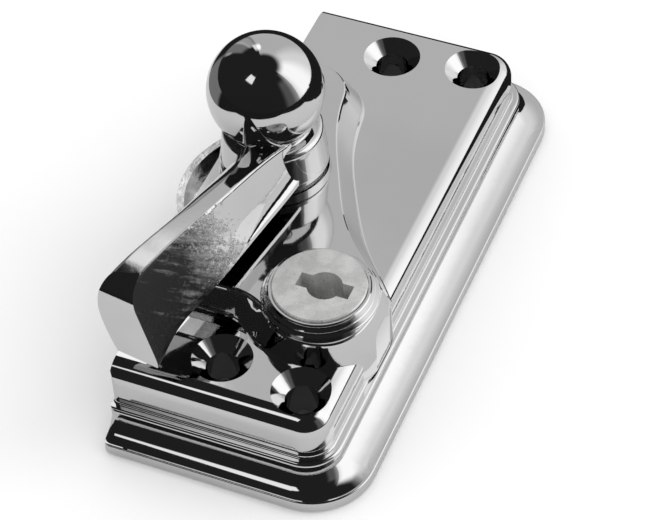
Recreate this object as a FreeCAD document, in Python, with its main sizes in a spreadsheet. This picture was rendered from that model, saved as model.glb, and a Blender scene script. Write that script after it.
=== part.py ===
import FreeCAD, Part
import math
import os

# Lever pivot lock for a sash window, in millimetres.
# The origin is the point where the lever's pivot axis meets the fixing face.
# X runs across the housing towards the key, Y along it, Z away from the window.

doc = FreeCAD.newDocument("LeverPivotLock")
sheet = doc.addObject("Spreadsheet::Sheet", "Sizes")
sheet.Label = "Sizes"

SIZES = {
    # Housing plan, measured from the pivot axis
    "edge_to_pivot": 7.9,
    "front_to_pivot": 39.5,
    "plate_width": 31.0,
    "plate_length": 76.7,
    "corner_round": 4.0,
    # Housing heights
    "deck_height": 12.7,
    "deck_edge_round": 2.7,
    "upper_wall_drop": 6.4,
    "bead_drop": 0.35,
    "foot_height": 1.85,
    "cove_drop": 2.0,
    "casing_rise": 4.5,
    # Housing moulding
    "bead_out": 1.25,
    "end_out": 4.3,
    "side_out": 5.3,
    "end_round": 1.3,
    "ledge_round": 0.5,
    "lip_width": 0.4,
    "lip_round": 0.25,
    # Casing on the deck, at half its height
    "casing_front": 24.5,
    "casing_back": 21.8,
    "casing_corner": 6.9,
    "corner_x": -1.6,
    "casing_lean": 1.0,
    "casing_edge": 0.3,
    "front_flat": 3.0,
    "sweep_x": 8.75,
    "sweep_y": -27.0,
    "flank_near_x": 15.85,
    "flank_near_y": -8.3,
    "flank_mid_x": 10.5,
    "flank_mid_y": 0.8,
    "flank_far_x": 6.95,
    "flank_far_y": 8.6,
    # Housing inside
    "wall": 2.4,
    "edge_wall": 2.2,
    "ceiling_height": 10.6,
    "cavity_round": 2.0,
    "foot_wall": 2.0,
    # Fixing holes
    "hole_inner_x": 5.73,
    "hole_outer_x": 17.97,
    "hole_inner_inset": 7.27,
    "hole_outer_inset": 5.65,
    "hole_radius": 2.4,
    "sink_radius": 4.2,
    "fixing_post_radius": 3.9,
    # Lever
    "hub_gap": 2.1,
    "hub_radius": 7.6,
    "hub_top_radius": 7.15,
    "hub_height": 5.4,
    "hub_edge_round": 0.9,
    "ball_radius": 8.2,
    "ball_rise": 11.7,
    "ball_shift": 0.65,
    "ball_fillet": 0.35,
    "arm_angle": 8.7,
    "arm_reach": 39.2,
    "arm_drop": 2.8,
    "arm_drop_length": 8.5,
    "arm_band": 0.8,
    "arm_side": 6.5,
    "arm_rise": 9.9,
    "arm_edge": 0.35,
    "tip_rake": 0.5,
    "tip_round": 4.2,
    # Spindle, bush and washers
    "spindle_radius": 4.0,
    "spindle_seat": 3.6,
    "spindle_square": 5.2,
    "square_clearance": 0.04,
    "running_clearance": 0.04,
    "bush_radius": 5.5,
    "flange_radius": 7.95,
    "flange_thickness": 0.8,
    "wave_radius": 7.3,
    "wave_thickness": 0.5,
    "hub_washer_radius": 7.7,
    "hub_washer_thickness": 0.6,
    "side_gap": 0.1,
    # Crescent cam
    "cam_radius": 14.6,
    "cam_rim": 1.1,
    "cam_floor_height": 6.3,
    "cam_floor": 1.6,
    "cam_top": 10.2,
    "cam_hub_radius": 6.4,
    "cam_half_angle": 75.0,
    "slot_clearance": 0.4,
    "stop_pin_place": 11.4,
    "stop_gap": 0.3,
    "stop_pin_grip": 1.6,
    # Locking disc
    "disc_height": 3.9,
    "disc_radius": 7.5,
    "notch_depth": 2.6,
    "notch_clearance": 0.25,
    # Foot of the spindle
    "washer_thickness": 0.5,
    "thrust_radius": 5.0,
    "clip_thickness": 0.5,
    "clip_radius": 4.4,
    "clip_groove": 2.0,
    "stub_radius": 2.5,
    "stub_end": 2.3,
    # Lock barrel
    "barrel_x": 15.5,
    "barrel_y": -21.0,
    "boss_radius": 8.4,
    "bezel_radius": 8.05,
    "bezel_step": 0.5,
    "bezel_rise": 0.62,
    "bezel_floor": 0.7,
    "face_radius": 6.5,
    "face_gap": 0.1,
    "face_rise": 2.25,
    "stem_radius": 5.4,
    "sleeve_wall": 1.1,
    "sleeve_foot": 8.6,
    "stem_foot": 6.5,
    "keyway_length": 7.6,
    "keyway_width": 2.4,
    "keyway_offset": 0.75,
    "key_pin_radius": 2.45,
    "keyway_depth": 6.0,
    "barrel_pin_radius": 0.7,
    "barrel_pin_height": 11.0,
    "barrel_pin_reach": 1.2,
    "barrel_pin_angle": -20.0,
    # Locking bolt and its drive
    "bolt_stroke": 2.6,
    "bolt_width": 5.0,
    "bolt_thickness": 1.6,
    "bolt_height": 4.1,
    "bolt_disc_gap": 0.4,
    "yoke_wall": 1.6,
    "drive_pin_radius": 1.25,
    "drive_pin_grip": 2.4,
    "yoke_clearance": 0.12,
    "guide_start": 7.0,
    "guide_length": 3.8,
    "guide_rib": 3.4,
    "guide_clearance": 0.15,
    "strap_thickness": 0.9,
    "guide_screw_radius": 0.9,
    "guide_head_radius": 1.6,
    "guide_head": 1.0,
    # Base plate
    "plate_thickness": 1.5,
    "plate_clearance": 0.15,
    "plate_screw_radius": 1.2,
    "plate_screw_head": 2.3,
    "plate_screw_length": 6.0,
    "plate_post_radius": 2.5,
    "plate_screw_inset": 4.5,
}


def fill_sheet():
    for row, (name, value) in enumerate(SIZES.items(), start=1):
        sheet.set("A%d" % row, name)
        sheet.set("B%d" % row, str(value))
        sheet.setAlias("B%d" % row, name)
    doc.recompute()


def size(name):
    return float(sheet.get(name))


def vector(x, y, z=0.0):
    return FreeCAD.Vector(x, y, z)


def polar(radius, degrees, z=0.0):
    angle = math.radians(degrees)
    return vector(radius * math.cos(angle), radius * math.sin(angle), z)


# Heights and places worked out from the sizes

fill_sheet()

UP = vector(0, 0, 1)
LEFT = -size("edge_to_pivot")
RIGHT = LEFT + size("plate_width")
FRONT = -size("front_to_pivot")
BACK = FRONT + size("plate_length")
DECK = size("deck_height")
CEILING = size("ceiling_height")
LEDGE = DECK - size("upper_wall_drop")
BEAD_TOP = LEDGE - size("bead_drop")
FOOT = size("foot_height")
COVE_TOP = FOOT + size("cove_drop")
CASING_TOP = DECK + size("casing_rise")
HUB_FOOT = CASING_TOP + size("hub_gap")
HUB_TOP = HUB_FOOT + size("hub_height")
BARREL = vector(size("barrel_x"), size("barrel_y"))
BARREL_REACH = BARREL.Length
BOLT_ANGLE = math.degrees(math.atan2(BARREL.y, BARREL.x))
PLATE_TOP = size("plate_thickness")
SLEEVE_RADIUS = size("stem_radius") + size("running_clearance") + size("sleeve_wall")
CRANK = size("bolt_stroke") / (2 * math.sin(math.radians(45)))


def add_shape(label, shape):
    piece = doc.addObject("Part::Feature", label)
    piece.Label = label
    piece.Shape = shape
    piece.Placement = FreeCAD.Placement()
    return piece


def turn_with_arm(piece):
    """Turn a piece about the pivot axis to the lever's rest angle."""
    piece.Placement = FreeCAD.Placement(vector(0, 0), FreeCAD.Rotation(UP, -size("arm_angle")))
    piece.setExpression(".Placement.Rotation.Angle", "-Sizes.arm_angle")
    return piece


def place(piece, x="0", y="0", z="0"):
    piece.setExpression(".Placement.Base.x", x)
    piece.setExpression(".Placement.Base.y", y)
    piece.setExpression(".Placement.Base.z", z)
    return piece


def cylinder(name, radius, height, x="0", y="0", z="0"):
    piece = doc.addObject("Part::Cylinder", name)
    piece.setExpression("Radius", radius)
    piece.setExpression("Height", height)
    return place(piece, x, y, z)


def cut(label, base, tool):
    piece = doc.addObject("Part::Cut", label)
    piece.Base = base
    piece.Tool = tool
    piece.Label = label
    return piece


def fuse(label, pieces):
    piece = doc.addObject("Part::MultiFuse", label)
    piece.Shapes = pieces
    piece.Label = label
    return piece


def ring(label, outer, inner, height, x="0", y="0", z="0"):
    """A flat washer, with its bore cut right through."""
    body = cylinder(label + "_disc", outer, height, x, y, z)
    bore = cylinder(label + "_bore", inner, height, x, y, z)
    return cut(label, body, bore)


# Plan outlines of the housing

def plan_outline(end_out, side_out, corner, z, ease=0.0):
    """The plate's plan, grown by the two outsets. The ends at the cut side are
    square, or eased by an arc."""
    x0, x1 = LEFT, RIGHT + side_out
    y0, y1 = FRONT - end_out, BACK + end_out
    turn = corner * (1 - math.cos(math.radians(45)))
    reach = ease * math.sin(math.radians(60))
    depth = ease * (1 - math.cos(math.radians(60)))
    bend_x = reach - ease * math.sin(math.radians(30))
    bend_y = ease * (1 - math.cos(math.radians(30)))
    front_arc = Part.Arc(vector(x1 - corner, y0, z), vector(x1 - turn, y0 + turn, z),
                         vector(x1, y0 + corner, z))
    back_arc = Part.Arc(vector(x1, y1 - corner, z), vector(x1 - turn, y1 - turn, z),
                        vector(x1 - corner, y1, z))
    edges = [
        Part.makeLine(vector(x0 + reach, y0, z), vector(x1 - corner, y0, z)),
        front_arc.toShape(),
        Part.makeLine(vector(x1, y0 + corner, z), vector(x1, y1 - corner, z)),
        back_arc.toShape(),
        Part.makeLine(vector(x1 - corner, y1, z), vector(x0 + reach, y1, z)),
        Part.makeLine(vector(x0, y1 - depth, z), vector(x0, y0 + depth, z)),
    ]
    if ease > 0:
        edges.insert(5, Part.Arc(vector(x0 + reach, y1, z), vector(x0 + bend_x, y1 - bend_y, z),
                                 vector(x0, y1 - depth, z)).toShape())
        edges.append(Part.Arc(vector(x0, y0 + depth, z), vector(x0 + bend_x, y0 + bend_y, z),
                              vector(x0 + reach, y0, z)).toShape())
    return Part.Wire(edges)


def prism(wire, height):
    return Part.Face(wire).extrude(vector(0, 0, height))


def rounded_box(x0, y0, x1, y1, z0, z1, radius):
    box = Part.makeBox(x1 - x0, y1 - y0, z1 - z0, vector(x0, y0, z0))
    upright = [edge for edge in box.Edges
               if abs(edge.Vertexes[0].Z - edge.Vertexes[-1].Z) > 0.5 * (z1 - z0)]
    return box.makeFillet(radius, upright)


def top_edges(solid, z, outside_only=True):
    """Edges that lie level at height z, without the straight cut side."""
    found = []
    for edge in solid.Edges:
        box = edge.BoundBox
        level = abs(box.ZMin - z) < 1e-6 and abs(box.ZMax - z) < 1e-6
        at_cut = box.XMax < LEFT + 1e-6
        if level and not (outside_only and at_cut):
            found.append(edge)
    return found


def casing_outline(lean, inset, z):
    """The casing's plan at one height: straight front, a sweep around the lock
    barrel, a long hollow flank and a rounded back corner. The lean is 1 at the
    foot and -1 at the top, and the inset eases the top edge."""
    out = size("casing_lean") * lean
    front = -size("casing_front") - 0.65 * out + inset
    back = size("casing_back") + 1.15 * out - inset
    corner = size("casing_corner") + 1.15 * out - inset
    centre = vector(size("corner_x"), size("casing_back") - size("casing_corner"), z)
    boss = size("boss_radius") - inset
    flat_end = vector(size("front_flat"), front, z)
    sweep_mid = vector(size("sweep_x") - 0.65 * out + inset, size("sweep_y") - 0.85 * out + inset, z)
    boss_front = BARREL + vector(0.2, -boss - 0.4 - 0.1 * out, z)
    boss_side = BARREL + polar(boss + 0.1 * out, -20, z)
    boss_back = BARREL + polar(boss + 0.65 + 0.65 * out, 32 + 4 * out, z)
    flank_near = vector(size("flank_near_x") + 0.87 * out - inset, size("flank_near_y") + 0.7 * out, z)
    flank_mid = vector(size("flank_mid_x") + 0.9 * out - inset, size("flank_mid_y") + 0.5 * out, z)
    flank_far = vector(size("flank_far_x") + 0.95 * out - inset, size("flank_far_y") + 0.35 * out, z)
    corner_start = centre + polar(corner, 8)
    corner_end = centre + vector(0, corner)
    sweep = Part.BSplineCurve()
    sweep.interpolate(Points=[flat_end, sweep_mid, boss_front],
                      Tangents=[vector(9, 0), polar(9, -40), vector(9, 0)],
                      TangentFlags=[True, False, True])
    nose = Part.BSplineCurve()
    nose.interpolate(Points=[boss_front, boss_side, boss_back],
                     Tangents=[vector(12, 0), polar(12, 70), polar(9, 105)],
                     TangentFlags=[True, False, True])
    flank = Part.BSplineCurve()
    flank.interpolate(Points=[boss_back, flank_near, flank_mid, flank_far, corner_start],
                      Tangents=[polar(9, 128), polar(12, 124), polar(12, 120), polar(9, 110),
                                polar(9, 98)],
                      TangentFlags=[True, False, False, False, True])
    edges = [
        Part.makeLine(vector(LEFT, front, z), flat_end),
        sweep.toShape(),
        nose.toShape(),
        flank.toShape(),
        Part.Arc(corner_start, centre + polar(corner, 49), corner_end).toShape(),
        Part.makeLine(corner_end, vector(LEFT, back, z)),
        Part.makeLine(vector(LEFT, back, z), vector(LEFT, front, z)),
    ]
    return Part.Wire(edges)


def tier(end_out, side_out, corner, top, rounding):
    """One step of the moulding, with its rounded top edge and eased ends."""
    block = prism(plan_outline(end_out, side_out, corner, 0), top)
    block = block.makeFillet(rounding, top_edges(block, top))
    return block.common(prism(plan_outline(end_out, side_out, corner, 0, size("end_round")), top))


def moulded_plate():
    """The stepped plate: foot, cove, bead and upper wall, in plan with the cut side."""
    corner = size("corner_round")
    bead = size("bead_out")
    end_span = size("end_out") - size("lip_width") - bead
    side_span = size("side_out") - size("lip_width") - bead
    foot_corner = corner + 0.5 * (size("end_out") + size("side_out"))
    foot = tier(size("end_out"), size("side_out"), foot_corner, FOOT, size("lip_round"))
    sections = []
    for share, fall in ((0, 0), (0.14, 0.30), (0.34, 0.58), (0.58, 0.80), (0.8, 0.93), (1, 1)):
        end = bead + share * end_span
        side = bead + share * side_span
        level = COVE_TOP - fall * size("cove_drop")
        sections.append(plan_outline(end, side, corner + 0.5 * (end + side), level,
                                     size("end_round")))
    cove = Part.makeLoft(sections, True, False)
    middle = tier(bead, bead, corner + bead, BEAD_TOP, size("ledge_round"))
    upper = tier(0, 0, corner, DECK, size("deck_edge_round"))
    return foot.multiFuse([cove, middle, upper, ledge_cove()])


def ledge_cove():
    """The small hollow where the upper wall stands on the ledge."""
    out = size("bead_drop")
    sections = []
    for step in range(4):
        tilt = math.radians(90 * step / 3)
        grow = out * (1 - math.cos(tilt))
        level = BEAD_TOP + out * (1 - math.sin(tilt))
        sections.append(plan_outline(grow, grow, size("corner_round") + grow, level,
                                     size("end_round")))
    return Part.makeLoft(sections, True, False)


def casing_block():
    """The raised casing with its hollow foot, leaning wall and eased top edge."""
    rise = size("casing_rise")
    edge = size("casing_edge")
    levels = [(0.0, 1.25, 0), (0.03, 1.05, 0), (0.08, 0.9, 0), (0.15, 0.78, 0), (0.9, -0.87, 0),
              (0.96, -1.0, 0.12 * edge), (0.99, -1.06, 0.45 * edge), (1.0, -1.08, edge)]
    sections = [casing_outline(lean, inset, DECK + rise * part) for part, lean, inset in levels]
    loft = Part.makeLoft(sections, True, True)
    under = prism(casing_outline(levels[0][1], 0, LEDGE), DECK - LEDGE)
    inside = Part.makeBox(BARREL.x + size("boss_radius") - LEFT, size("plate_length"),
                          CASING_TOP, vector(LEFT, FRONT, 0))
    return loft.fuse(under).common(inside)


def fixing_holes():
    inner = size("hole_inner_inset")
    outer = size("hole_outer_inset")
    return [
        vector(size("hole_inner_x"), FRONT + inner),
        vector(size("hole_outer_x"), FRONT + outer),
        vector(size("hole_inner_x"), BACK - inner),
        vector(size("hole_outer_x"), BACK - outer),
    ]


def plate_screw_places():
    inset = size("plate_screw_inset")
    side = size("edge_wall") + 3.1
    return [
        vector(LEFT + side, FRONT + inset),
        vector(LEFT + side, BACK - inset),
        vector(RIGHT - side - 0.5, 14.0),
        vector(RIGHT - side + 0.2, -9.0),
    ]


def along_bolt(distance, across, z=0.0):
    """A point measured from the lock barrel towards the pivot."""
    u = BARREL * (-1.0 / BARREL_REACH)
    v = vector(-u.y, u.x)
    return BARREL + u * distance + v * across + vector(0, 0, z)


def bolt_block(start, length, half_width, z0, z1, across=0.0):
    """A block whose sides are square to the bolt's travel."""
    corners = [
        along_bolt(start, across - half_width, z0),
        along_bolt(start + length, across - half_width, z0),
        along_bolt(start + length, across + half_width, z0),
        along_bolt(start, across + half_width, z0),
    ]
    return prism(Part.makePolygon(corners + corners[:1]), z1 - z0)


def housing():
    """The die-cast housing, hollow from below, with its posts and bosses."""
    body = moulded_plate().fuse(casing_block())
    wall = size("wall")
    foot_wall = size("foot_wall")
    hollow = rounded_box(LEFT + size("edge_wall"), FRONT + wall, RIGHT - wall, BACK - wall,
                         0, CEILING, size("cavity_round"))
    recess = rounded_box(LEFT + foot_wall, FRONT - size("end_out") + foot_wall,
                         RIGHT + size("side_out") - foot_wall, BACK + size("end_out") - foot_wall,
                         0, PLATE_TOP, size("corner_round"))
    body = body.cut(hollow.fuse(recess))
    posts = [Part.makeCylinder(size("fixing_post_radius"), CEILING + 0.5, place)
             for place in fixing_holes()]
    posts += [Part.makeCylinder(size("plate_post_radius"), CEILING + 0.5 - PLATE_TOP,
                                place + vector(0, 0, PLATE_TOP))
              for place in plate_screw_places()]
    sleeve_foot = size("sleeve_foot")
    posts.append(Part.makeCylinder(size("boss_radius"), CEILING + 0.5 - sleeve_foot,
                                   BARREL + vector(0, 0, sleeve_foot)))
    half = 0.5 * size("bolt_width") + size("guide_clearance")
    bolt_top = size("bolt_height") + size("bolt_thickness") + size("guide_clearance")
    guide = bolt_block(size("guide_start"), size("guide_length"), half + size("guide_rib"),
                       size("bolt_height"), CEILING + 0.5)
    channel = bolt_block(size("guide_start") - 1, size("guide_length") + 2, half,
                         size("bolt_height") - 1, bolt_top)
    posts.append(guide.cut(channel))
    body = body.multiFuse(posts)
    tools = []
    sink = size("sink_radius")
    bore = size("hole_radius")
    for spot in fixing_holes():
        tools.append(Part.makeCylinder(bore, DECK + 2, spot + vector(0, 0, -1)))
        tools.append(Part.makeCone(bore, sink, sink - bore, spot + vector(0, 0, DECK - sink + bore)))
        tools.append(Part.makeCylinder(sink, 2, spot + vector(0, 0, DECK)))
    for spot in plate_screw_places():
        tools.append(Part.makeCylinder(size("plate_screw_radius"), size("plate_screw_length") + 0.5,
                                       spot))
    for side in (-1, 1):
        spot = along_bolt(size("guide_start") + 0.5 * size("guide_length"),
                          side * (half + 0.5 * size("guide_rib")), size("bolt_height") - 1)
        tools.append(Part.makeCylinder(size("guide_screw_radius"), 5.0, spot))
    tools.append(Part.makeCylinder(size("bush_radius"), DECK, vector(0, 0, CEILING - 2)))
    tools.append(Part.makeCylinder(SLEEVE_RADIUS, 2 * DECK, BARREL + vector(0, 0, size("stem_foot") - 0.5)))
    chord = math.sqrt(size("cam_radius") ** 2 - (size("edge_to_pivot") - size("edge_wall")) ** 2)
    slot_half = chord + size("slot_clearance")
    slot_foot = size("cam_floor_height") - size("slot_clearance")
    slot_top = size("cam_top") + size("slot_clearance")
    tools.append(Part.makeBox(size("edge_wall") + 2, 2 * slot_half, slot_top - slot_foot,
                              vector(LEFT - 1, -slot_half, slot_foot)))
    disc_foot = size("disc_height") - size("slot_clearance")
    tools.append(Part.makeBox(size("edge_wall") + 2, 2 * size("disc_radius"), slot_top - disc_foot,
                              vector(LEFT - 1, -size("disc_radius"), disc_foot)))
    tools.append(cam_stop_shape())
    tools.append(barrel_stop_shape())
    body = body.cut(Part.makeCompound(tools))
    return add_shape("housing", body.removeSplitter().Solids[0])


# The lever, in its own frame with the arm along -Y, then turned to rest

def hub():
    """The hub with its eased top edge, turned about the pivot axis."""
    edge = size("hub_edge_round")
    top = size("hub_top_radius")
    bend = edge * (1 - math.cos(math.radians(45)))
    edges = [
        Part.makeLine(vector(0, 0, HUB_FOOT), vector(size("hub_radius"), 0, HUB_FOOT)),
        Part.makeLine(vector(size("hub_radius"), 0, HUB_FOOT), vector(top, 0, HUB_TOP - edge)),
        Part.Arc(vector(top, 0, HUB_TOP - edge), vector(top - bend, 0, HUB_TOP - bend),
                 vector(top - edge, 0, HUB_TOP)).toShape(),
        Part.makeLine(vector(top - edge, 0, HUB_TOP), vector(0, 0, HUB_TOP)),
        Part.makeLine(vector(0, 0, HUB_TOP), vector(0, 0, HUB_FOOT)),
    ]
    return Part.Face(Part.Wire(edges)).revolve(vector(0, 0, 0), UP, 360)


def ball():
    """The ball knob and the small hollow under it, set off the axis towards the arm's
    left side."""
    radius = size("ball_radius")
    fillet = size("ball_fillet")
    centre = HUB_FOOT + size("ball_rise")
    rise = centre - HUB_TOP - fillet
    fillet_x = math.sqrt((radius + fillet) ** 2 - rise ** 2)
    reach = radius / (radius + fillet)
    touch = vector(fillet_x * reach, 0, centre - rise * reach)
    lower = math.atan2(-rise, fillet_x)
    side = polar(radius, math.degrees(0.5 * lower + 0.4))
    hollow = 0.5 * (lower + 0.5 * math.pi)
    edges = [
        Part.makeLine(vector(0, 0, HUB_TOP), vector(fillet_x, 0, HUB_TOP)),
        Part.Arc(vector(fillet_x, 0, HUB_TOP),
                 vector(fillet_x - fillet * math.sin(hollow), 0,
                        HUB_TOP + fillet - fillet * math.cos(hollow)), touch).toShape(),
        Part.Arc(touch, vector(side.x, 0, centre + side.y), vector(0, 0, centre + radius)).toShape(),
        Part.makeLine(vector(0, 0, centre + radius), vector(0, 0, HUB_TOP)),
    ]
    shape = Part.Face(Part.Wire(edges)).revolve(vector(0, 0, 0), UP, 360)
    shape.translate(vector(-size("ball_shift"), 0))
    return shape


def bezier(points):
    bend = Part.BezierCurve()
    bend.setPoles(points)
    return bend.toShape()


def arm_section(y, foot, drop, left_foot, right, flare, ridge, rise, strip, knuckle, knuckle_rise):
    """One slice of the arm, seen from its tip: a flat foot, a low band, a flare,
    the tall right face, the eased ridge, the narrow top and the rounded left side
    that leans over its foot."""
    top = HUB_FOOT + rise
    band = HUB_FOOT - drop * size("arm_drop") + (1 - drop) * size("arm_band")
    flare_top = band + 2.2
    edge = size("arm_edge")
    slope = (right - flare - ridge) / (top - flare_top)
    shoulder = vector(ridge - strip, y, top - 0.08 * strip)
    widest = vector(knuckle, y, HUB_FOOT + knuckle_rise)
    edges = [
        Part.makeLine(vector(left_foot, y, foot), vector(right, y, foot)),
        Part.makeLine(vector(right, y, foot), vector(right, y, band)),
        bezier([vector(right, y, band), vector(right - flare + slope * 1.9, y, band + 0.3),
               vector(right - flare, y, flare_top)]),
        Part.makeLine(vector(right - flare, y, flare_top),
                      vector(ridge + edge * slope, y, top - edge)),
        bezier([vector(ridge + edge * slope, y, top - edge), vector(ridge, y, top),
               vector(ridge - edge, y, top)]),
        Part.makeLine(vector(ridge - edge, y, top), shoulder),
        bezier([shoulder, shoulder + vector(0.55 * (knuckle - shoulder.x), 0, -0.15),
               widest + vector(0, 0, 0.5 * (shoulder.z - widest.z)), widest]),
        bezier([widest, widest - vector(0, 0, 0.35 * (widest.z - foot)), vector(left_foot, y, foot)]),
    ]
    return Part.Wire(edges)


def arm():
    """The blade of the lever: a tall bar that leans left, with a dropped tip."""
    reach = size("arm_reach")
    side = size("arm_side")
    rise = size("arm_rise")
    foot = HUB_FOOT - size("arm_drop")
    slices = [
        (0.02, 0, -4.0, side, 1.1, 4.5, 0.56, 0.5, -4.6, 0.34),
        (0.14, 0, -2.6, side, 1.1, 4.4, 0.70, 0.6, -2.2, 0.38),
        (0.31, 0, -1.3, side, 0.95, 4.15, 0.85, 1.0, -1.0, 0.48),
        (0.46, 0, -0.9, side, 0.75, 3.75, 0.92, 1.9, -0.9, 0.62),
        (0.61, 0, -0.7, side, 0.6, 3.15, 0.965, 2.6, -1.0, 0.68),
        (0.77, 0.15, -0.5, 0.95 * side, 0.6, 2.6, 1.0, 3.1, -1.8, 0.66),
        (0.92, 0.65, -0.1, 0.91 * side, 0.5, 2.1, 0.99, 3.3, -2.8, 0.54),
        (1.05, 1.1, 0.1, 0.91 * side, 0.45, 1.7, 0.97, 3.2, -2.8, 0.5),
    ]
    sections = []
    for share, drop, left_foot, right, flare, ridge, top, strip, knuckle, level in slices:
        sections.append(arm_section(-share * reach, foot - 1, drop, left_foot, right, flare, ridge,
                                    top * rise, strip, knuckle, level * rise))
    blade = Part.makeLoft(sections, True, False)
    drop_start = -(reach - size("arm_drop_length"))
    bend = size("tip_round")
    top_y = -reach + size("tip_rake")
    bend_z = HUB_FOOT + rise - bend
    roof = HUB_FOOT + rise + 1
    fall = Part.BSplineCurve()
    fall.interpolate(Points=[vector(0, drop_start, HUB_FOOT), vector(0, -reach, foot)],
                     Tangents=[vector(0, -9, 0), vector(0, -8, -3.2)], TangentFlags=[True, True])
    nose = Part.Arc(vector(0, top_y, bend_z),
                    vector(0, top_y + 0.293 * bend, bend_z + 0.707 * bend),
                    vector(0, top_y + bend, bend_z + bend))
    edges = [
        Part.makeLine(vector(0, 0, HUB_FOOT), vector(0, drop_start, HUB_FOOT)),
        fall.toShape(),
        Part.makeLine(vector(0, -reach, foot), vector(0, top_y, bend_z)),
        nose.toShape(),
        Part.makeLine(vector(0, top_y + bend, bend_z + bend), vector(0, top_y + bend, roof)),
        Part.makeLine(vector(0, top_y + bend, roof), vector(0, 0, roof)),
        Part.makeLine(vector(0, 0, roof), vector(0, 0, HUB_FOOT)),
    ]
    side_face = Part.Face(Part.Wire(edges))
    side_face.translate(vector(-2 * side, 0))
    return blade.common(side_face.extrude(vector(4 * side, 0)))


def lever():
    """Hub, arm and ball knob cast in one piece."""
    body = hub().multiFuse([ball(), arm()])
    socket = Part.makeCylinder(size("spindle_radius"), size("spindle_seat"), vector(0, 0, HUB_FOOT))
    body = body.cut(socket).removeSplitter()
    return turn_with_arm(add_shape("lever", body.Solids[0]))


# Parts on the pivot axis

def spindle():
    """A round journal with a squared lower end and a turned stub for its clip."""
    half = 0.5 * size("spindle_square")
    disc_foot = size("disc_height")
    journal = Part.makeCylinder(size("spindle_radius"), HUB_FOOT + size("spindle_seat") - size("cam_top"),
                                vector(0, 0, size("cam_top")))
    square = Part.makeBox(2 * half, 2 * half, size("cam_top") - disc_foot,
                          vector(-half, -half, disc_foot))
    stub = Part.makeCylinder(size("stub_radius"), disc_foot - size("stub_end"),
                             vector(0, 0, size("stub_end")))
    clip_foot = disc_foot - size("washer_thickness") - size("clip_thickness")
    groove = Part.makeCylinder(size("stub_radius") + 1, size("clip_thickness"), vector(0, 0, clip_foot))
    groove = groove.cut(Part.makeCylinder(size("clip_groove"), size("clip_thickness"),
                                          vector(0, 0, clip_foot)))
    shape = journal.multiFuse([square, stub]).cut(groove).removeSplitter()
    return turn_with_arm(add_shape("spindle", shape.Solids[0]))


def square_hole(z0, z1):
    half = 0.5 * size("spindle_square") + size("square_clearance")
    hole = Part.makeBox(2 * half, 2 * half, z1 - z0, vector(-half, -half, z0))
    hole.rotate(vector(0, 0, 0), UP, -size("arm_angle"))
    return hole


def pivot_bush():
    flange = cylinder("bush_flange", "Sizes.flange_radius", "Sizes.flange_thickness",
                      z="Sizes.deck_height + Sizes.casing_rise")
    barrel = cylinder("bush_barrel", "Sizes.bush_radius",
                      "Sizes.deck_height + Sizes.casing_rise - Sizes.ceiling_height",
                      z="Sizes.ceiling_height")
    bore = cylinder("bush_bore", "Sizes.spindle_radius + Sizes.running_clearance",
                    "Sizes.deck_height", z="Sizes.ceiling_height - 1")
    return cut("pivot_bush", fuse("bush_blank", [flange, barrel]), bore)


def wave_washer():
    """A spring washer with four waves between the bush and the hub washer."""
    foot = CASING_TOP + size("flange_thickness")
    swell = 0.5 * (size("hub_gap") - size("flange_thickness") - size("hub_washer_thickness")
                   - size("wave_thickness") - size("side_gap"))
    outer = size("wave_radius")
    inner = size("spindle_radius") + 0.5
    steps = 48
    rows = []
    for radius in (inner, outer):
        points = []
        for step in range(steps):
            angle = 360.0 * step / steps
            lift = swell * (1 + math.cos(math.radians(4 * angle)))
            points.append(polar(radius, angle, foot + lift))
        curve = Part.BSplineCurve()
        curve.interpolate(Points=points, PeriodicFlag=True)
        rows.append(Part.Wire(curve.toShape()))
    skin = Part.makeRuledSurface(rows[0], rows[1])
    return add_shape("wave_washer", skin.extrude(vector(0, 0, size("wave_thickness"))).Solids[0])


def hub_washer():
    return ring("hub_washer", "Sizes.hub_washer_radius",
                "Sizes.spindle_radius + Sizes.running_clearance", "Sizes.hub_washer_thickness",
                z="Sizes.deck_height + Sizes.casing_rise + Sizes.hub_gap - Sizes.hub_washer_thickness")


def sector(radius, start, end, z0, height):
    """A pie-shaped block about the pivot axis."""
    middle = 0.5 * (start + end)
    edges = [
        Part.makeLine(vector(0, 0, z0), polar(radius, start, z0)),
        Part.Arc(polar(radius, start, z0), polar(radius, middle, z0), polar(radius, end, z0)).toShape(),
        Part.makeLine(polar(radius, end, z0), vector(0, 0, z0)),
    ]
    return prism(Part.Wire(edges), height)


def crescent_cam():
    """The cam that hooks the keep: a crescent floor with an upstanding rim."""
    foot = size("cam_floor_height")
    rise = size("cam_top") - foot
    start = 180 - size("cam_half_angle")
    end = 180 + size("cam_half_angle")
    blank = sector(size("cam_radius"), start, end, foot, rise)
    dish = Part.makeCylinder(size("cam_radius") - size("cam_rim"), rise,
                             vector(0, 0, foot + size("cam_floor")))
    hub = Part.makeCylinder(size("cam_hub_radius"), rise, vector(0, 0, foot))
    shape = blank.cut(dish).fuse(hub).cut(square_hole(foot, size("cam_top")))
    return add_shape("crescent_cam", shape.removeSplitter().Solids[0])


def cam_stop_shape():
    """The pin between the cam's two flanks that ends the lever's half turn."""
    place = size("stop_pin_place")
    half_angle = math.radians(90 - size("cam_half_angle"))
    radius = place * math.sin(half_angle) - size("stop_gap")
    foot = size("cam_floor_height")
    return Part.makeCylinder(radius, CEILING + size("stop_pin_grip") - foot, vector(0, -place, foot))


def cam_stop_pin():
    return add_shape("cam_stop_pin", cam_stop_shape())


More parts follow.
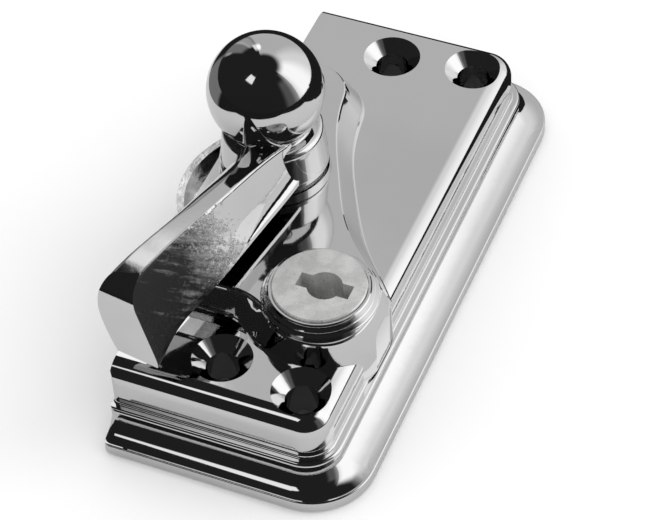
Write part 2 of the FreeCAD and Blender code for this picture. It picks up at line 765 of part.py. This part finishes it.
def locking_disc():
    """The disc with a notch for each end of the lever's turn."""
    foot = size("disc_height")
    height = size("cam_floor_height") - foot
    radius = size("disc_radius")
    blank = Part.makeCylinder(radius, height, vector(0, 0, foot))
    half = 0.5 * size("bolt_width") + size("notch_clearance")
    shape = blank.cut(square_hole(foot, foot + height))
    for turn in (0, 180):
        notch = Part.makeBox(radius, 2 * half, height, vector(radius - size("notch_depth"), -half, foot))
        notch.rotate(vector(0, 0, 0), UP, BOLT_ANGLE + turn)
        shape = shape.cut(notch)
    return add_shape("locking_disc", shape.removeSplitter().Solids[0])


def thrust_washer():
    return ring("thrust_washer", "Sizes.thrust_radius", "Sizes.stub_radius + Sizes.running_clearance",
                "Sizes.washer_thickness", z="Sizes.disc_height - Sizes.washer_thickness")


def open_clip(label, outer, inner, gap, thickness, centre, z):
    """A retaining ring with an open mouth."""
    shape = Part.makeCylinder(outer, thickness, centre + vector(0, 0, z))
    shape = shape.cut(Part.makeCylinder(inner, thickness, centre + vector(0, 0, z)))
    mouth = Part.makeBox(outer + 1, gap, thickness, centre + vector(0, -0.5 * gap, z))
    return add_shape(label, shape.cut(mouth).Solids[0])


def spindle_clip():
    foot = size("disc_height") - size("washer_thickness") - size("clip_thickness")
    return open_clip("spindle_clip", size("clip_radius"), size("clip_groove"),
                     2 * size("clip_groove") - 0.6, size("clip_thickness"), vector(0, 0), foot)


# The lock barrel and what it drives

def cylinder_bezel():
    """The stepped collar around the key face, turned in one piece."""
    foot = CASING_TOP
    step = size("bezel_step")
    rise = size("bezel_rise")
    bore = size("stem_radius") + size("running_clearance")
    inner = size("face_radius") + size("face_gap")
    outer = size("bezel_radius")
    profile = [
        (bore, foot), (outer, foot), (outer, foot + 0.6 * rise), (outer - 0.12, foot + 0.75 * rise),
        (outer - step, foot + rise), (outer - step, foot + 1.6 * rise),
        (outer - step - 0.12, foot + 1.75 * rise), (outer - 2 * step, foot + 2 * rise),
        (outer - 2 * step, foot + 2.7 * rise), (outer - 2 * step - 0.15, foot + 3 * rise),
        (inner, foot + 3 * rise), (inner, foot + size("bezel_floor")), (bore, foot + size("bezel_floor")),
    ]
    points = [BARREL + vector(x, 0, z) for x, z in profile]
    face = Part.Face(Part.makePolygon(points + points[:1]))
    return add_shape("cylinder_bezel", face.revolve(BARREL, UP, 360))


def cylinder_sleeve():
    tube = ring("sleeve_tube",
                "Sizes.stem_radius + Sizes.running_clearance + Sizes.sleeve_wall",
                "Sizes.stem_radius + Sizes.running_clearance",
                "Sizes.deck_height + Sizes.casing_rise - Sizes.sleeve_foot",
                "Sizes.barrel_x", "Sizes.barrel_y", "Sizes.sleeve_foot")
    pin = doc.addObject("Part::Feature", "sleeve_pin_hole")
    pin.Shape = barrel_stop_shape()
    return cut("cylinder_sleeve", tube, pin)


def lock_barrel():
    """The turning barrel: face disc, stem, keyway and clip groove."""
    face_foot = CASING_TOP + size("bezel_floor") + 0.05
    face_top = CASING_TOP + size("face_rise")
    stem_foot = size("stem_foot")
    radius = size("face_radius")
    disc = Part.makeCylinder(radius, face_top - face_foot, BARREL + vector(0, 0, face_foot))
    rim = [edge for edge in disc.Edges if edge.BoundBox.ZMin > face_top - 1e-6]
    disc = disc.makeChamfer(0.15, rim)
    stem = Part.makeCylinder(size("stem_radius"), face_foot - stem_foot, BARREL + vector(0, 0, stem_foot))
    shape = disc.fuse(stem)
    depth = size("keyway_depth")
    length = size("keyway_length")
    width = size("keyway_width")
    centre = BARREL + vector(size("keyway_offset"), 0, face_top - depth)
    slot = Part.makeBox(length, width, depth + 1, centre - vector(0.5 * length, 0.5 * width, 0))
    eye = Part.makeCylinder(size("key_pin_radius"), depth + 1, centre)
    shape = shape.cut(slot.fuse(eye))
    clip = size("clip_thickness")
    clip_foot = size("sleeve_foot") - size("washer_thickness") - clip - 0.1
    groove = Part.makeCylinder(radius, clip, BARREL + vector(0, 0, clip_foot))
    groove = groove.cut(Part.makeCylinder(size("stem_radius") - 0.6, clip,
                                          BARREL + vector(0, 0, clip_foot)))
    shape = shape.cut(groove)
    pin = Part.makeCylinder(size("drive_pin_radius"), size("drive_pin_grip"),
                            drive_pin_place() + vector(0, 0, stem_foot))
    shape = shape.cut(pin).cut(stop_track())
    return add_shape("lock_barrel", shape.removeSplitter().Solids[0])


def stop_track():
    """The quarter-turn groove in the stem that the barrel's stop pin runs in."""
    radius = size("barrel_pin_radius")
    height = size("barrel_pin_height")
    spare = math.degrees((radius + 0.1) / (size("stem_radius") - size("barrel_pin_reach")))
    start = size("barrel_pin_angle") - spare
    sweep = 90 + 2 * spare
    half = radius + size("running_clearance")
    track = Part.makeCylinder(size("stem_radius") + 1, 2 * half, BARREL + vector(0, 0, height - half),
                              UP, sweep)
    core = Part.makeCylinder(size("stem_radius") - size("barrel_pin_reach") - 0.1, 2 * half,
                             BARREL + vector(0, 0, height - half))
    track.rotate(BARREL, UP, start)
    return track.cut(core)


def barrel_stop_shape():
    """A level pin through the boss and sleeve, its nose in the barrel's groove."""
    inner = size("stem_radius") - size("barrel_pin_reach")
    foot = polar(inner, size("barrel_pin_angle"), size("barrel_pin_height")) + BARREL
    return Part.makeCylinder(size("barrel_pin_radius"), size("boss_radius") - 0.9 - inner, foot,
                             polar(1, size("barrel_pin_angle")))


def barrel_stop_pin():
    return add_shape("barrel_stop_pin", barrel_stop_shape())


def drive_pin_place():
    """The crank pin starts 45 degrees short of square to the bolt."""
    start = math.radians(45)
    return along_bolt(-CRANK * math.sin(start), CRANK * math.cos(start))


def drive_pin():
    foot = size("bolt_height") + 0.2
    top = size("stem_foot") + size("drive_pin_grip")
    shape = Part.makeCylinder(size("drive_pin_radius"), top - foot, drive_pin_place() + vector(0, 0, foot))
    return add_shape("drive_pin", shape)


def barrel_washer():
    return ring("barrel_washer",
                "Sizes.stem_radius + Sizes.running_clearance + Sizes.sleeve_wall",
                "Sizes.stem_radius + Sizes.running_clearance", "Sizes.washer_thickness",
                "Sizes.barrel_x", "Sizes.barrel_y",
                "Sizes.sleeve_foot - Sizes.washer_thickness - 0.05")


def barrel_clip():
    foot = size("sleeve_foot") - size("washer_thickness") - size("clip_thickness") - 0.1
    return open_clip("barrel_clip", size("stem_radius") + 0.7, size("stem_radius") - 0.6,
                     1.6 * size("stem_radius"), size("clip_thickness"), BARREL, foot)


def locking_bolt():
    """The sliding bolt: a nose for the disc's notch and a slotted yoke for the pin."""
    foot = size("bolt_height")
    top = foot + size("bolt_thickness")
    tip = BARREL_REACH - size("disc_radius") - size("bolt_disc_gap")
    start = -CRANK * math.sin(math.radians(45))
    pin = size("drive_pin_radius") + size("yoke_clearance")
    near = CRANK * math.cos(math.radians(45)) - pin - 0.1
    far = CRANK + pin + 0.1
    centre = 0.5 * (near + far)
    half = 0.5 * (far - near)
    rim = size("yoke_wall")
    bar = bolt_block(start, tip - start, 0.5 * size("bolt_width"), foot, top)
    head = bolt_block(start - pin - rim, 2 * (pin + rim), half + rim, foot, top, centre)
    slot = bolt_block(start - pin, 2 * pin, half, foot - 1, top + 1, centre)
    shape = bar.fuse(head).cut(slot)
    return add_shape("locking_bolt", shape.removeSplitter().Solids[0])


def guide_half():
    return 0.5 * size("bolt_width") + size("guide_clearance")


def bolt_guide():
    """A pressed strap that closes the bolt's channel."""
    top = size("bolt_height")
    foot = top - size("strap_thickness")
    strap = bolt_block(size("guide_start"), size("guide_length"), guide_half() + size("guide_rib"),
                       foot, top)
    return add_shape("bolt_guide", strap.cut(Part.makeCompound(guide_screw_shapes())))


def guide_screw_shapes():
    shapes = []
    foot = size("bolt_height") - size("strap_thickness")
    for side in (-1, 1):
        spot = along_bolt(size("guide_start") + 0.5 * size("guide_length"),
                          side * (guide_half() + 0.5 * size("guide_rib")))
        shank = Part.makeCylinder(size("guide_screw_radius"), 4.5, spot + vector(0, 0, foot))
        head = Part.makeCylinder(size("guide_head_radius"), size("guide_head"),
                                 spot + vector(0, 0, foot - size("guide_head")))
        slot = Part.makeBox(2 * size("guide_head_radius"), 0.4, 0.4,
                            spot + vector(-size("guide_head_radius"), -0.2, foot - size("guide_head")))
        shapes.append(head.fuse(shank).cut(slot).Solids[0])
    return shapes


def bolt_guide_screws():
    return add_shape("bolt_guide_screws", Part.makeCompound(guide_screw_shapes()))


# The base plate

def base_plate():
    gap = size("plate_clearance")
    wall = size("foot_wall")
    plate = rounded_box(LEFT + wall + gap, FRONT - size("end_out") + wall + gap,
                        RIGHT + size("side_out") - wall - gap, BACK + size("end_out") - wall - gap,
                        0, PLATE_TOP, size("corner_round") - gap)
    tools = [Part.makeCylinder(size("fixing_post_radius") + gap, DECK, spot)
             for spot in fixing_holes()]
    tools += plate_screw_shapes()
    return add_shape("base_plate", plate.cut(Part.makeCompound(tools)).Solids[0])


def plate_screw_shapes():
    shapes = []
    head = size("plate_screw_head")
    shank = size("plate_screw_radius")
    for spot in plate_screw_places():
        cone = Part.makeCone(head, shank, head - shank, spot)
        rod = Part.makeCylinder(shank, size("plate_screw_length"), spot)
        slot = Part.makeBox(2 * head, 0.6, 0.5, spot + vector(-head, -0.3, 0))
        shapes.append(cone.fuse(rod).cut(slot).Solids[0])
    return shapes


def base_plate_screws():
    return add_shape("base_plate_screws", Part.makeCompound(plate_screw_shapes()))


def export(pieces):
    os.makedirs("parts", exist_ok=True)
    doc.recompute()
    for piece in pieces:
        bad = [state for state in piece.State if state in ("Invalid", "Error")]
        shape = piece.Shape
        if bad or shape.isNull() or not shape.isValid():
            raise ValueError("bad shape in " + piece.Label)
        shape.exportStep("parts/" + piece.Label + ".step")


export([
    housing(),
    lever(),
    spindle(),
    pivot_bush(),
    wave_washer(),
    hub_washer(),
    crescent_cam(),
    locking_disc(),
    thrust_washer(),
    spindle_clip(),
    cam_stop_pin(),
    cylinder_bezel(),
    cylinder_sleeve(),
    barrel_stop_pin(),
    lock_barrel(),
    barrel_washer(),
    barrel_clip(),
    drive_pin(),
    locking_bolt(),
    bolt_guide(),
    bolt_guide_screws(),
    base_plate(),
    base_plate_screws(),
])
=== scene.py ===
import math

import bmesh
import bpy
from mathutils import Matrix, Vector

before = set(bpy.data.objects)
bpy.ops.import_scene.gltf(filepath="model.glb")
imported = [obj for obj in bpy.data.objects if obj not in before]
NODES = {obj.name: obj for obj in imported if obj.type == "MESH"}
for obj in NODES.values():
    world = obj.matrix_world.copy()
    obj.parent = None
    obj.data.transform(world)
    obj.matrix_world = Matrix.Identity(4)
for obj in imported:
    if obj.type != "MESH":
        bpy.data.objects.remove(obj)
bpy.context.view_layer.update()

# The lever's turn from the housing's long axis at rest
ARM_TURN = math.radians(8.7)

# Heights in metres of the studio's level pieces
TABLE = 0.0004
SHEET = 0.0002
FLOOR = -0.0001


# Node helpers

def link(tree, source, target):
    tree.links.new(source, target)


def surface(name, kind):
    """A material with one shader, whose inputs are set later."""
    material = bpy.data.materials.new(name)
    material.use_nodes = True
    tree = material.node_tree
    tree.nodes.clear()
    out = tree.nodes.new("ShaderNodeOutputMaterial")
    shader = tree.nodes.new(kind)
    link(tree, shader.outputs[0], out.inputs["Surface"])
    return material, tree, shader


def math_node(tree, operation, first, second=None, third=None, clamp=False):
    node = tree.nodes.new("ShaderNodeMath")
    node.operation = operation
    node.use_clamp = clamp
    for index, value in enumerate((first, second, third)):
        if value is None:
            continue
        if isinstance(value, (int, float)):
            node.inputs[index].default_value = value
        else:
            link(tree, value, node.inputs[index])
    return node.outputs[0]


def times(tree, first, second):
    return math_node(tree, "MULTIPLY", first, second)


def ramp(tree, value, low, high, start=0.0, end=1.0):
    """Ease from start to end as value goes from low to high."""
    node = tree.nodes.new("ShaderNodeMapRange")
    node.interpolation_type = "SMOOTHSTEP"
    node.clamp = True
    link(tree, value, node.inputs["Value"])
    node.inputs["From Min"].default_value = low
    node.inputs["From Max"].default_value = high
    node.inputs["To Min"].default_value = start
    node.inputs["To Max"].default_value = end
    return node.outputs["Result"]


def band(tree, value, low, high, soft):
    """One between low and high, zero outside, with soft edges."""
    up = ramp(tree, value, low - soft, low + soft)
    down = ramp(tree, value, high - soft, high + soft, 1.0, 0.0)
    return times(tree, up, down)


def noise(tree, coords, scale, detail=2.0, roughness=0.5, distortion=0.0):
    node = tree.nodes.new("ShaderNodeTexNoise")
    node.inputs["Scale"].default_value = scale
    node.inputs["Detail"].default_value = detail
    node.inputs["Roughness"].default_value = roughness
    node.inputs["Distortion"].default_value = distortion
    link(tree, coords, node.inputs["Vector"])
    return node.outputs["Fac"]


def bump(tree, height, distance, strength=1.0, normal=None):
    node = tree.nodes.new("ShaderNodeBump")
    node.inputs["Strength"].default_value = strength
    node.inputs["Distance"].default_value = distance
    link(tree, height, node.inputs["Height"])
    if normal is not None:
        link(tree, normal, node.inputs["Normal"])
    return node.outputs["Normal"]


def split(tree, vector):
    """The x, y and z of a vector."""
    node = tree.nodes.new("ShaderNodeSeparateXYZ")
    link(tree, vector, node.inputs[0])
    return node.outputs[0], node.outputs[1], node.outputs[2]


def weigh(tree, parts, weights, extra=0.0):
    """The sum of each part times its weight, and extra."""
    total = extra
    for part, weight in zip(parts, weights):
        total = math_node(tree, "MULTIPLY_ADD", part, weight, total)
    return total


def mix_colour(tree, factor, first, second):
    """A colour between two, each given as red, green and blue."""
    node = tree.nodes.new("ShaderNodeMix")
    node.data_type = "RGBA"
    node.inputs[6].default_value = (*first, 1.0)
    node.inputs[7].default_value = (*second, 1.0)
    link(tree, factor, node.inputs[0])
    return node.outputs[2]


def metal(name, light, dark, rough_low, rough_high, waves=(), patches=30.0, plated=1.0):
    """A metal with cloudy tone, uneven gloss and one bump for each wave given
    as (scale per metre, depth in metres, detail)."""
    material, tree, shader = surface(name, "ShaderNodeBsdfPrincipled")
    shader.inputs["Metallic"].default_value = plated
    place = tree.nodes.new("ShaderNodeTexCoord").outputs["Object"]
    cloud = noise(tree, place, patches, 4.0, 0.6)
    link(tree, mix_colour(tree, ramp(tree, cloud, 0.35, 0.65), dark, light),
         shader.inputs["Base Color"])
    smear = noise(tree, place, patches * 6.0, 3.0, 0.6)
    link(tree, ramp(tree, smear, 0.3, 0.7, rough_low, rough_high), shader.inputs["Roughness"])
    normal = None
    for scale, depth, detail in waves:
        normal = bump(tree, noise(tree, place, scale, detail), depth, 1.0, normal)
    if normal is not None:
        link(tree, normal, shader.inputs["Normal"])
    return material


def blend_into(tree, mask, socket, target):
    """Change what feeds a linked socket to target as the mask goes to one."""
    node = tree.nodes.new("ShaderNodeMix")
    colour = socket.type == "RGBA"
    node.data_type = "RGBA" if colour else "FLOAT"
    low, high, end = (6, 7, 2) if colour else (2, 3, 0)
    link(tree, mask, node.inputs[0])
    link(tree, socket.links[0].from_socket, node.inputs[low])
    if isinstance(target, float):
        node.inputs[high].default_value = target
    else:
        link(tree, target, node.inputs[high])
    link(tree, node.outputs[end], socket)


def shader_of(material):
    return next(node for node in material.node_tree.nodes if node.type == "BSDF_PRINCIPLED")


def cast_grain_and_painted_reflection(material):
    """Leave the right side of the arm's outer half less glossy and grainy, and darken its
    colour there as a painted reflection of a dark room, with lighter painted streaks towards
    the hub.
    """
    tree = material.node_tree
    shader = shader_of(material)
    coords = tree.nodes.new("ShaderNodeTexCoord")
    place = coords.outputs["Object"]
    x, y, z = split(tree, place)
    sine, cosine = math.sin(ARM_TURN), math.cos(ARM_TURN)
    along = weigh(tree, (x, y), (-sine, -cosine))
    facing = weigh(tree, split(tree, coords.outputs["Normal"]), (cosine, -sine, 0.0))
    grain = noise(tree, place, 1500.0, 3.0, 0.65)
    streaks = tree.nodes.new("ShaderNodeCombineXYZ")
    link(tree, weigh(tree, (x, y, z), (-0.016, -0.10, 0.10)), streaks.inputs[0])
    link(tree, weigh(tree, (x, y, z), (-0.104, -0.680, -0.725)), streaks.inputs[1])
    drag_marks_and_painted_streaks = noise(tree, streaks.outputs[0], 700.0, 4.0, 0.65)
    ragged = weigh(tree, (grain, drag_marks_and_painted_streaks), (0.016, 0.020), -0.018)
    ragged_reach = math_node(tree, "ADD", along, ragged)
    # Mask over the arm's outer right side with a ragged edge: there the casting is rougher and
    # bumped, and its colour is darkened as a painted reflection.
    mask = times(tree, ramp(tree, ragged_reach, 0.0195, 0.0275), ramp(tree, facing, 0.42, 0.62))
    # Painted reflection: streaks and speckle of lighter colour that grow lighter towards the
    # hub, mixed between near black and mid grey.
    painted_streak_light = weigh(tree, (drag_marks_and_painted_streaks, grain, along), (2.6, 0.6, -42.0), -0.05)
    painted_reflection_colour = mix_colour(tree, ramp(tree, painted_streak_light, 0.25, 0.95), (0.05, 0.05, 0.05), (0.5, 0.5, 0.5))
    blend_into(tree, mask, shader.inputs["Base Color"], painted_reflection_colour)
    blend_into(tree, mask, shader.inputs["Roughness"], 0.34)
    smooth = shader.inputs["Normal"].links[0].from_socket
    rugged = bump(tree, times(tree, grain, mask), 0.00012, 1.0, smooth)
    rugged = bump(tree, times(tree, drag_marks_and_painted_streaks, mask), 0.00006, 1.0, rugged)
    link(tree, rugged, shader.inputs["Normal"])
    return material


# Materials

CHROME = metal("polished_chrome", (0.70, 0.70, 0.70), (0.66, 0.66, 0.66), 0.03, 0.06,
               [(110.0, 0.000012, 1.0), (900.0, 0.0000012, 3.0)])
CAST_CHROME = metal("polished_casting", (0.70, 0.70, 0.70), (0.64, 0.64, 0.64), 0.03, 0.07,
                    [(150.0, 0.00002, 1.5), (1100.0, 0.000003, 3.0)])
ROUGH_CHROME = metal("plated_rough_casting", (0.74, 0.74, 0.74), (0.5, 0.5, 0.5), 0.08, 0.2,
                     [(420.0, 0.00007, 3.0), (2200.0, 0.000018, 3.0)], 200.0)
SATIN = metal("satin_nickel", (0.74, 0.74, 0.73), (0.6, 0.6, 0.59), 0.26, 0.42,
              [(2600.0, 0.000012, 4.0)], 420.0, 0.55)
STEEL = metal("bright_steel", (0.62, 0.62, 0.63), (0.5, 0.5, 0.52), 0.2, 0.34,
              [(1800.0, 0.000003, 3.0)], 200.0)
SPRING = metal("spring_steel", (0.42, 0.42, 0.43), (0.32, 0.32, 0.34), 0.22, 0.36,
               [(1800.0, 0.000003, 3.0)], 200.0)
BRASS = metal("turned_brass", (0.76, 0.62, 0.33), (0.66, 0.52, 0.27), 0.16, 0.3,
              [(2000.0, 0.000003, 3.0)], 200.0)

FINISH = {
    "housing": CHROME,
    # The lever's casting carries a painted reflection: its outer right side is darkened in
    # colour.
    "lever": cast_grain_and_painted_reflection(CAST_CHROME),
    "cylinder_bezel": CHROME,
    "pivot_bush": CHROME,
    "hub_washer": CHROME,
    "crescent_cam": ROUGH_CHROME,
    "lock_barrel": SATIN,
    "cylinder_sleeve": BRASS,
    "wave_washer": SPRING,
    "spindle_clip": SPRING,
    "barrel_clip": SPRING,
    "barrel_washer": SPRING,
}


def dress_nodes():
    for name, node in NODES.items():
        material = FINISH.get(name, STEEL)
        for slot in node.material_slots:
            slot.material = material


# Studio

def only_glossy(piece):
    """A card that metal reflects, out of the camera's sight, casting no shade."""
    piece.visible_camera = False
    piece.visible_diffuse = False
    piece.visible_transmission = False
    piece.visible_volume_scatter = False
    piece.visible_shadow = False


def mesh_object(name, mesh_maker, material):
    mesh = bpy.data.meshes.new(name)
    maker = bmesh.new()
    mesh_maker(maker)
    maker.to_mesh(mesh)
    maker.free()
    piece = bpy.data.objects.new(name, mesh)
    bpy.context.scene.collection.objects.link(piece)
    mesh.materials.append(material)
    return piece


def level_square(maker, half, height):
    bmesh.ops.create_grid(maker, x_segments=1, y_segments=1, size=half)
    bmesh.ops.translate(maker, verts=maker.verts, vec=(0, 0, height))


def bearing(tree, x, y):
    """Degrees from the y axis, clockwise from above."""
    return math_node(tree, "DEGREES", math_node(tree, "ARCTAN2", x, y))


def tent_material():
    """The studio round the object: a dark room, one wide lit panel behind and to
    the right, a lamp above the camera and dimmer panels at the left."""
    material, tree, shader = surface("tent", "ShaderNodeEmission")
    place = tree.nodes.new("ShaderNodeTexCoord").outputs["Object"]
    unit = tree.nodes.new("ShaderNodeVectorMath")
    unit.operation = "NORMALIZE"
    link(tree, place, unit.inputs[0])
    x, y, z = split(tree, unit.outputs[0])
    turn = bearing(tree, x, y)
    rise = math_node(tree, "DEGREES", math_node(tree, "ARCSINE", z))

    def patch(turn_low, turn_high, turn_soft, rise_low, rise_high, rise_soft, level):
        area = times(tree, band(tree, turn, turn_low, turn_high, turn_soft),
                     band(tree, rise, rise_low, rise_high, rise_soft))
        return times(tree, area, level)

    lights = [
        patch(-36, 90, 1.5, -6, 64, 5, 0.58),
        patch(14, 90, 14, -2, 58, 6, 0.35),
        patch(44, 90, 14, -1, 60, 6, 0.45),
        patch(-42, -30, 1.0, 38, 52, 5, 1.0),
        patch(-48, -37, 2.0, 2, 40, 4, 0.4),
        patch(-64, -46, 3.0, -2, 38, 6, 0.2),
        patch(-66, -62, 1.0, 6, 16, 3, 0.3),
        patch(92, 116, 6, -8, 48, 6, 0.09),
        patch(-166, -142, 1.0, 50, 64, 1.5, 1.1),
    ]
    total = lights[0]
    for extra in lights[1:]:
        total = math_node(tree, "ADD", total, extra)
    link(tree, math_node(tree, "ADD", total, 0.018), shader.inputs["Strength"])
    return material


def add_tent():
    def dome(maker):
        bmesh.ops.create_uvsphere(maker, u_segments=48, v_segments=24, radius=1.6)
    only_glossy(mesh_object("tent", dome, tent_material()))


def add_dark_surround():
    """The dark table round the pale sheet that the object stands on, greyer at the left."""
    material, tree, shader = surface("dark_table", "ShaderNodeEmission")
    x, y, _ = split(tree, tree.nodes.new("ShaderNodeTexCoord").outputs["Object"])
    greyer = band(tree, bearing(tree, x, y), -112, -62, 4)
    link(tree, math_node(tree, "MULTIPLY_ADD", greyer, 0.2, 0.015), shader.inputs["Strength"])

    def surround(maker):
        inner = [(-0.075, -0.13), (0.15, -0.12), (0.15, 0.016), (0.0, 0.0475), (-0.06, 0.052)]
        ring = []
        for x, y in inner:
            reach = 6.0 / math.hypot(x, y)
            ring.append((maker.verts.new((x, y, TABLE)),
                         maker.verts.new((x * reach, y * reach, TABLE))))
        for (a, b), (c, d) in zip(ring, ring[1:] + ring[:1]):
            maker.faces.new((a, b, d, c))
    only_glossy(mesh_object("dark_table", surround, material))


def add_sheet_tint():
    """Dims what metal sees of the pale sheet, which the camera sees as white."""
    material, _, shader = surface("sheet_tint", "ShaderNodeBsdfTransparent")
    shader.inputs["Color"].default_value = (0.74, 0.74, 0.74, 1.0)

    def sheet(maker):
        level_square(maker, 0.4, SHEET)
    only_glossy(mesh_object("sheet_tint", sheet, material))


def add_floor():
    material, _, shader = surface("floor", "ShaderNodeBsdfPrincipled")
    shader.inputs["Base Color"].default_value = (0.98, 0.98, 0.98, 1.0)
    shader.inputs["Roughness"].default_value = 0.9
    shader.inputs["Specular IOR Level"].default_value = 0.1

    def plane(maker):
        level_square(maker, 3.0, FLOOR)
    mesh_object("floor", plane, material)


def add_lamp(name, place, target, size, energy):
    lamp = bpy.data.lights.new(name, "AREA")
    lamp.shape = "DISK"
    lamp.size = size
    lamp.energy = energy
    piece = bpy.data.objects.new(name, lamp)
    bpy.context.scene.collection.objects.link(piece)
    piece.location = place
    aim = Vector(target) - Vector(place)
    piece.rotation_euler = aim.to_track_quat("-Z", "Y").to_euler()
    piece.visible_glossy = False


def light_world():
    world = bpy.data.worlds.new("studio")
    bpy.context.scene.world = world
    world.use_nodes = True
    background = world.node_tree.nodes["Background"]
    background.inputs["Color"].default_value = (1.0, 1.0, 1.0, 1.0)
    background.inputs["Strength"].default_value = 1.0


# Camera, fitted to the photograph

CAMERA_PLACE = Vector((0.1154, -0.23098, 0.28008))
CAMERA_AZIMUTH = math.radians(25.289)
CAMERA_ELEVATION = math.radians(47.736)
CAMERA_ROLL = math.radians(-3.818)
CAMERA_LENS = 145.99


def add_camera():
    flat = math.cos(CAMERA_ELEVATION)
    back = Vector((math.sin(CAMERA_AZIMUTH) * flat, -math.cos(CAMERA_AZIMUTH) * flat,
                   math.sin(CAMERA_ELEVATION)))
    level = (-back).cross(Vector((0, 0, 1))).normalized()
    rise = level.cross(-back)
    right = math.cos(CAMERA_ROLL) * level + math.sin(CAMERA_ROLL) * rise
    up = -math.sin(CAMERA_ROLL) * level + math.cos(CAMERA_ROLL) * rise
    lens = bpy.data.cameras.new("camera")
    lens.lens = CAMERA_LENS
    lens.sensor_width = 36.0
    lens.sensor_fit = "HORIZONTAL"
    lens.clip_start = 0.01
    piece = bpy.data.objects.new("camera", lens)
    bpy.context.scene.collection.objects.link(piece)
    turn = Matrix((right, up, back)).transposed().to_4x4()
    piece.matrix_world = Matrix.Translation(CAMERA_PLACE) @ turn
    bpy.context.scene.camera = piece


def main():
    scene = bpy.context.scene
    scene.view_settings.view_transform = "Standard"
    dress_nodes()
    add_floor()
    add_dark_surround()
    add_sheet_tint()
    add_tent()
    light_world()
    add_lamp("soft_lamp", (0.5, 0.3, 0.6), (0, 0, 0), 0.5, 1.0)
    add_camera()


main()
